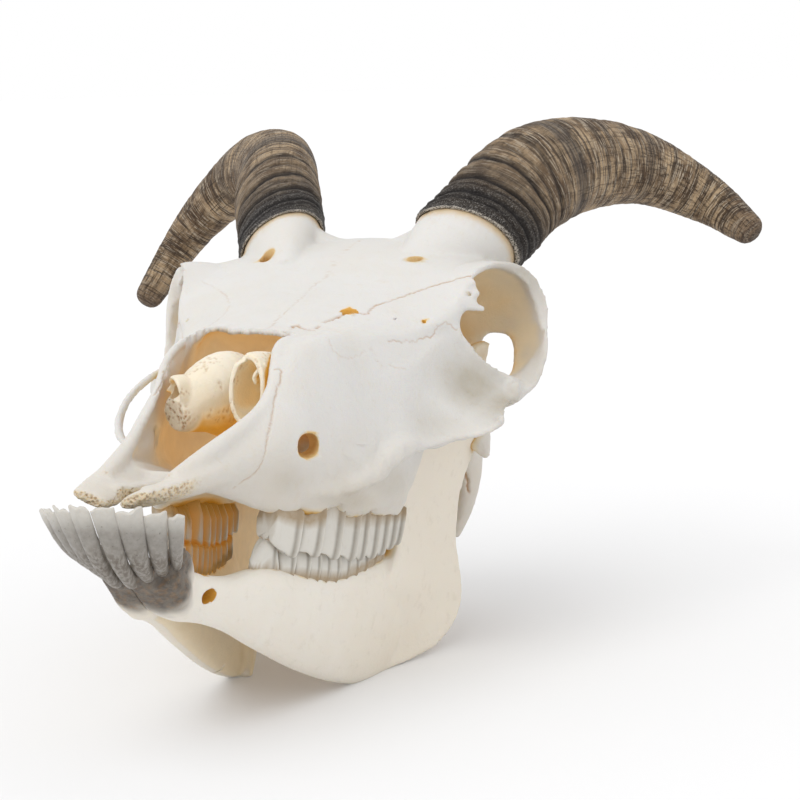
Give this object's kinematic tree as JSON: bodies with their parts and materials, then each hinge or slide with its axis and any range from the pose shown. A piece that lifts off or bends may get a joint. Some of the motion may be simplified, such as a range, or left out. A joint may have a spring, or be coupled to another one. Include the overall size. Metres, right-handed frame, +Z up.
{
  "type": "ram skull",
  "caption": "Cleaned skull of a domestic ram with both lower jaws and both horn sheaths, lying on its jaws, nose bones broken away.",
  "frame": {"origin": "middle of the skull's outline on the surface it rests on, below the cheeks", "axes": "+Z up, +Y towards the back of the head, +X towards the animal's left"},
  "size_m": [0.267, 0.349, 0.1859],
  "materials": {
    "cranium_bone": "satin",
    "jaw_bone": "satin",
    "inner_bone": "matte",
    "horn": "matte"
  },
  "bodies": {
    "root": {"cranium": "cranium_bone", "concha_left": "inner_bone", "concha_right": "inner_bone", "mandible_left": "jaw_bone", "mandible_right": "jaw_bone", "horn_sheath_left": "horn", "horn_sheath_right": "horn"}
  },
  "joints": []
}
